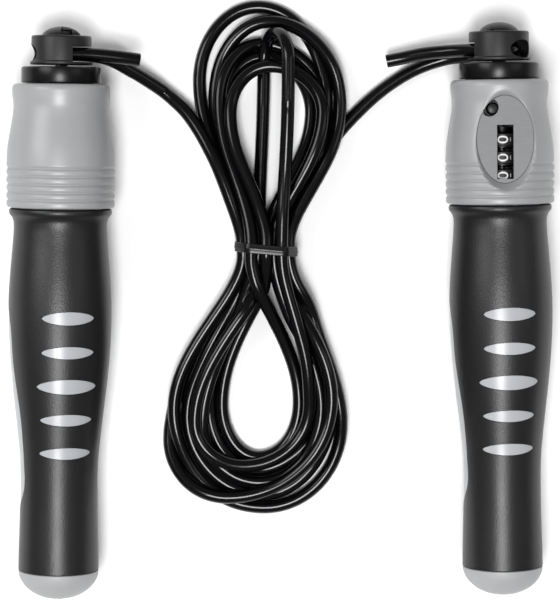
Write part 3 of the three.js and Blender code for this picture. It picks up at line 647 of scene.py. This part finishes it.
# The turns, in the cord's own order and direction: first widest place, far end, second widest place.
# The third number of each is how high that place starts before the bundle settles.
TURNS = [
    ((-32.4, -30.3, 14), (-4.6, -60.7, 2), (18.4, -36.1, 6)),
    ((18.1, 61.6, 10), (-3.3, 87.8, 4), (-19.0, 66.8, 6)),
    ((-33.7, -39.8, 8), (-15.8, -57.1, 14), (15.7, -26.4, 14)),
    ((14.0, 63.8, 6), (-6.7, 92.3, 2), (-24.5, 69.9, 2)),
    ((-28.6, -32.2, 4), (-5.5, -56.7, 8), (15.2, -30.7, 6)),
    ((14.6, 60.1, 2), (-5.5, 80.5, 9), (-18.0, 65.3, 10)),
    ((5.9, -28.2, 16), (-6.1, -46.0, 6), (-18.0, -28.5, 2)),
    ((-15.8, 58.3, 16), (-3.0, 74.2, 11), (12.9, 60.1, 14)),
    ((12.2, -30.0, 10), (-6.4, -52.9, 6), (-23.5, -35.2, 6)),
    ((-17.1, 62.3, 6), (-5.5, 76.9, 7), (9.6, 60.1, 10)),
    ((-25.9, -33.7, 12), (-10.7, -47.5, 14), (9.7, -27.6, 12)),
    None,
    ((-22.0, -30.0, 2), (-9.1, -48.5, 2), (13.7, -28.2, 2)),
]
# The twisted turn stands on edge: its front strand lies over the others and its back strand under them.
TWIST = {"front": (2.5, 17.0), "back": (-4.9, 3.0), "start": 76.0, "reach": 8.0}
# Each round pushes touching strands apart, draws the line back toward its place on the table and lets it sink.
# "skip" is how many neighbouring points of the line may be close, and "ahead" how far off a pair is first listed.
SETTLE = {
    "rounds": 420, "quick_rounds": 60, "clearance": 0.05, "skip": 7, "ahead": 2.5, "list_every": 8,
    "sink": 0.12, "sink_share": 0.75, "sideways": 0.6, "overshoot": 1.3, "homing": 0.06,
}


def bezier(a, b, c, d, count=24):
    t = np.linspace(0, 1, count, endpoint=False)[:, None]
    a, b, c, d = (np.asarray(v, float) for v in (a, b, c, d))
    return (1 - t) ** 3 * a + 3 * (1 - t) ** 2 * t * b + 3 * (1 - t) * t**2 * c + t**3 * d


def tie_pass(index, side):
    """The end of a pass through the tie: side is 1 above the tie and -1 below it."""
    across, row = PASSES[index]
    return np.array([TIE_AT[0] + across, TIE_AT[1] + side * TIE_HALF, TIE_FLOOR + row * TIE_ROW])


def turn_line(start, places, end):
    """One turn of the cord: out from the tie, round its far end and back to the tie."""
    (ax, ay, az), (bx, by, bz), (cx, cy, cz) = places
    way = 1 if by > start[1] else -1
    out, back = abs(ay - start[1]) * way, abs(cy - end[1]) * way
    round_ = 0.55
    lines = [
        bezier(start, start + (0, 0.27 * out, 0), (ax, ay - 0.4 * out, az), (ax, ay, az)),
        bezier((ax, ay, az), (ax, ay + round_ * (by - ay), az), (bx + round_ * (ax - bx), by, bz), (bx, by, bz)),
        bezier((bx, by, bz), (bx + round_ * (cx - bx), by, bz), (cx, cy + round_ * (by - cy), cz), (cx, cy, cz)),
        bezier((cx, cy, cz), (cx, cy - 0.4 * back, cz), end + (0, 0.27 * back, 0), end),
    ]
    return np.vstack(lines)


def twist_line(start, end):
    (fx, fz), (bx, bz) = TWIST["front"], TWIST["back"]
    y, reach = TWIST["start"], TWIST["reach"]
    middle = np.array([(fx + bx) / 2, y, (fz + bz) / 2])
    half = np.array([(fx - bx) / 2, 0, (fz - bz) / 2])
    angle = np.linspace(0, math.pi, 30)[:, None]
    bend = middle + np.cos(angle) * half + np.sin(angle) * (0, reach, 0)
    front = bezier(start, start + (0, 12, 0), (fx, y - 30, fz), (fx, y, fz))
    back = bezier((bx, y, bz), (bx, y - 20, bz), end + (0, 16, 0), end)
    return np.vstack([front[:-1], bend, back[1:]])


def in_drum(side, x, z):
    """A point at the slot's middle height, given in the head's frame and returned in the world's."""
    return tuple((drum_frame(side) @ (Vector((INWARD[side] * x, -SLOT_CENTRE, z)) * MM)) / MM)


def in_slot(side, front):
    """The two points of a strand inside the head: beside the post, and where it leaves the slot."""
    z = BEND_RADIUS if front else -BEND_RADIUS
    return [in_drum(side, x, z) for x in (BEND_STUB, DRUM["radius"] * 0.8)]


def bundle_line():
    """The cord from the left head, through every turn, to the right head. Its fourth column marks the twist."""
    lead = through([*in_slot("left", False), *LEFT_LEAD], 8)
    last = tie_pass(0, 1)
    heading = np.subtract(LEFT_LEAD[-1], LEFT_LEAD[-2]) * 2
    parts = [lead[:-1], bezier(lead[-1], lead[-1] + heading, last + (-2, 14, 0), last)]
    for index, places in enumerate(TURNS):
        side = 1 if index % 2 else -1
        start, end = tie_pass(index, side), tie_pass(index + 1, side)
        parts.append(start[None])
        if places is None:
            twisted = len(parts)
            parts.append(twist_line(start, end))
        else:
            parts.append(turn_line(start, places, end))
        parts.append(end[None])
    away = through([*in_slot("right", False), *RIGHT_LEAD], 8)[::-1]
    start = tie_pass(len(PASSES) - 1, 1)
    heading = np.subtract(RIGHT_LEAD[-1], RIGHT_LEAD[-2]) * 1.8
    parts += [bezier(start, start + (2, 16, 0), away[0] + heading, away[0]), away]
    mark = [np.full(len(part), float(index == twisted)) for index, part in enumerate(parts)]
    return np.column_stack([np.vstack(parts), np.concatenate(mark)])


def close_pairs(spots, within, skip):
    square = (spots**2).sum(1)
    apart = square[:, None] + square[None] - 2 * np.einsum("ik,jk->ij", spots, spots)
    i, j = np.nonzero(np.triu(apart < within**2, skip))
    return i, j


def settle(line, held, rounds):
    """Lets the turns sink onto each other and the table, without passing through each other."""
    spots, home = line.copy(), line[:, :2].copy()
    rest = line[held]
    across = 2 * CORD_RADIUS + SETTLE["clearance"]
    for step in range(rounds):
        if step % SETTLE["list_every"] == 0:
            i, j = close_pairs(spots, across + SETTLE["ahead"], SETTLE["skip"])
        sinking = step < rounds * SETTLE["sink_share"]
        gap = spots[i] - spots[j]
        far = np.maximum(np.linalg.norm(gap, axis=1), 1e-6)
        push = gap / far[:, None] * (np.clip(across - far, 0, None) / 2)[:, None]
        push[:, :2] *= SETTLE["sideways"]
        move, count = np.zeros_like(spots), np.zeros(len(spots))
        np.add.at(move, i, push)
        np.add.at(move, j, -push)
        touching = (far < across).astype(float)
        np.add.at(count, i, touching)
        np.add.at(count, j, touching)
        spots += SETTLE["overshoot"] * move / np.maximum(count, 1)[:, None]
        spots[:, :2] += SETTLE["homing"] * (home - spots[:, :2])
        if sinking:
            spots[:, 2] -= SETTLE["sink"]
        for _ in range(2):
            shift = spots[:, :2] - home
            shift[1:-1] = (shift[:-2] + shift[2:] + 2 * shift[1:-1]) / 4
            spots[:, :2] = home + shift
            spots[1:-1, 2] = (spots[:-2, 2] + spots[2:, 2] + 2 * spots[1:-1, 2]) / 4
        spots[:, 2] = np.maximum(spots[:, 2], CORD_RADIUS)
        spots[held] = rest
    return spots


def cord_curve(name, line):
    curve = bpy.data.curves.new(name, "CURVE")
    curve.dimensions = "3D"
    curve.bevel_depth = CORD_RADIUS * MM
    curve.bevel_resolution = 6
    curve.use_fill_caps = True
    curve.twist_mode = "MINIMUM"
    spline = curve.splines.new("POLY")
    spline.points.add(len(line) - 1)
    co = np.column_stack([np.asarray(line) * MM, np.ones(len(line))])
    spline.points.foreach_set("co", co.ravel())
    spline.use_smooth = True
    return link(bpy.data.objects.new(name, curve))


def main_cord():
    line = evenly(bundle_line(), 2.0)
    outside = (line[:, 0] < LEFT_LEAD[3][0]) | (line[:, 0] > RIGHT_LEAD[3][0])
    outside &= line[:, 1] > TIE_AT[1]
    in_tie = np.abs(line[:, 1] - TIE_AT[1]) < TIE_HALF
    standing = (line[:, 3] > 0.5) & (line[:, 1] > TWIST["start"] - 14)
    line = line[:, :3]
    held = outside | in_tie | standing
    settled = settle(line, held, SETTLE["rounds"])
    return through(settled, 2)


def head_bend(side):
    angle = np.linspace(math.pi / 2, 3 * math.pi / 2, 33)
    turn = [(BEND_RADIUS * math.cos(t), BEND_RADIUS * math.sin(t)) for t in angle]
    flat = [(BEND_STUB, BEND_RADIUS), *turn, (BEND_STUB, -BEND_RADIUS)]
    return [in_drum(side, x, z) for x, z in flat]


def tie_band():
    """A flat strap that hugs the strands, with a raised rib along its middle."""
    centres = np.array([(across, TIE_FLOOR + row * TIE_ROW) for across, row in PASSES])
    angle = np.linspace(0, 2 * math.pi, 160, endpoint=False)
    normal = np.column_stack([np.cos(angle), np.sin(angle)])
    touch = centres[(normal @ centres.T).argmax(1)]
    tilt = math.tan(math.radians(TIE_TILT))
    rows = []
    for width, rise in TIE_SECTION:
        flat = touch + normal * (CORD_RADIUS + rise)
        rows.append(np.column_stack([TIE_AT[0] + flat[:, 0], TIE_AT[1] + width - tilt * flat[:, 0], flat[:, 1]]))
    count, ring_ = len(angle), len(TIE_SECTION)
    verts = np.vstack(rows)
    faces = [
        (k * count + s, k * count + (s + 1) % count, (k + 1) % ring_ * count + (s + 1) % count,
         (k + 1) % ring_ * count + s)
        for k in range(ring_) for s in range(count)
    ]
    return solid("tie_strap", verts, faces)


# ---- Build ----

# The CAD's inner parts that are kept as they are, and their materials.
BEARING = {"spindle": "black_steel", "retaining_clip": "steel", "upper_bush": "bronze", "lower_bush": "bronze"}
KEPT = {f"{side}_{part}": finish for side in SIDE_NAMES for part, finish in BEARING.items()}
KEPT |= {
    "drive_finger": "counter_black", "counter_frame": "counter_black", "counter_wheel_axle": "steel",
    "transfer_axle": "steel", "transfer_pinion_1": "counter_black", "transfer_pinion_2": "counter_black",
}
for node, finish in KEPT.items():
    dress(frame["nodes"][node], finish)

for side in SIDE_NAMES:
    body = f"{side}_handle"
    finish_piece(sleeve(side), body, "grip_black", f"{side}_grip_sleeve")
    finish_piece(pads(side), body, "core_grey", f"{side}_grip_core")
    finish_piece(end_cap(side), body, "collar_grey", f"{side}_end_cap")
    dress(bpy.data.objects[f"{side}_tail_cap"], "cap_grey")
    finish_piece(collar(side), body, "collar_grey", f"{side}_collar")
    finish_piece(ring(side), body, "gloss_black", f"{side}_bearing_cap")
    finish_piece(drum(side), "root", "head_black", f"{side}_head_drum")
    finish_piece(head_cap(side), "root", "head_black", f"{side}_head_cap")

finish_piece(face_plate(), "right_handle", "face_grey", "counter_face_plate")
finish_piece(button_guide(), "right_handle", "counter_black", "button_guide")
finish_piece(reset_button(), "reset_button", "head_black", "reset_button")
for order, name in enumerate(("units", "tens", "hundreds")):
    finish_piece(wheel(f"{name}_rim", order), f"{name}_wheel", "counter_black", f"counter_wheel_{name}")
    finish_piece(digits(f"{name}_digits", order), f"{name}_wheel", "counter_black")
    dress(bpy.data.objects[f"{name}_digits"], "digit_white")

bends = {side: cord_curve(f"{side}_head_cord", head_bend(side)) for side in SIDE_NAMES}
for side, bend in bends.items():
    finish_piece(bend, "root", "rope_black", f"rope_bend_{side}")
tails = {
    "left": evenly(through([*in_slot("left", True), *LEFT_TAIL]), 1.0),
    "right": evenly(through([*in_slot("right", True), *RIGHT_TAIL]), 1.0),
}
tail_pieces = {side: cord_curve(f"{side}_cord_end", line) for side, line in tails.items()}
for side, piece in tail_pieces.items():
    finish_piece(piece, "root", "rope_black", f"rope_tail_{side}")
strap = finish_piece(tie_band(), "root", "tie_black", "hank_tie")
route = main_cord()
bundle = finish_piece(
    cord_curve("bundle_cord", route), "root", "rope_black", "rope_lead_left", "rope_lead_right", "rope_hank")
print("main cord", round(length_of(route), 1), "mm; tails", {s: round(length_of(t), 1) for s, t in tails.items()})


# ---- Studio ----

FLOOR_HALF = 3.0
FLOOR_DROP = 0.0002
WORLD_STRENGTH = 0.24
# Each light's place and size in metres, and its power. All point at the middle of the table.
LIGHTS = {
    "top": ((-0.05, -0.26, 1.18), (0.36, 0.4), 13),
    "key": ((-0.75, 0.3, 0.8), (0.35, 0.6), 5),
    "fill": ((0.85, 0.15, 0.8), (0.3, 0.6), 0.8),
}
CAMERA = {"lens": 144, "sensor": 36, "place": (0, 0.0455, 0.736), "tilt": -3.31}


def floor():
    size = FLOOR_HALF
    mesh = bpy.data.meshes.new("floor")
    mesh.from_pydata([(-size, -size, 0), (size, -size, 0), (size, size, 0), (-size, size, 0)], [], [(0, 1, 2, 3)])
    obj = link(bpy.data.objects.new("floor", mesh))
    obj.location.z = -FLOOR_DROP
    mesh.materials.append(material("floor_white", (0.95, 0.95, 0.95), 0.9, 40, 0.0, tint=0.01, specular=0.1))


def soft_light(name, place, size, power):
    light = bpy.data.lights.new(name, "AREA")
    light.shape = "RECTANGLE"
    light.size, light.size_y = size
    light.energy = power
    obj = link(bpy.data.objects.new(name, light))
    obj.location = place
    obj.rotation_euler = (-Vector(place)).to_track_quat("-Z", "Y").to_euler()


def studio():
    world = bpy.data.worlds.new("studio")
    world.use_nodes = True
    world.node_tree.nodes["Background"].inputs["Color"].default_value = (1, 1, 1, 1)
    world.node_tree.nodes["Background"].inputs["Strength"].default_value = WORLD_STRENGTH
    bpy.context.scene.world = world
    for name, (place, size, power) in LIGHTS.items():
        soft_light(name, place, size, power)
    bpy.context.scene.view_settings.view_transform = "Standard"


def camera():
    data = bpy.data.cameras.new("camera")
    data.lens, data.sensor_width = CAMERA["lens"], CAMERA["sensor"]
    data.clip_start, data.clip_end = 0.05, 20
    obj = link(bpy.data.objects.new("camera", data))
    obj.location = CAMERA["place"]
    obj.rotation_euler = (math.radians(CAMERA["tilt"]), 0, 0)
    bpy.context.scene.camera = obj


floor()
studio()
camera()
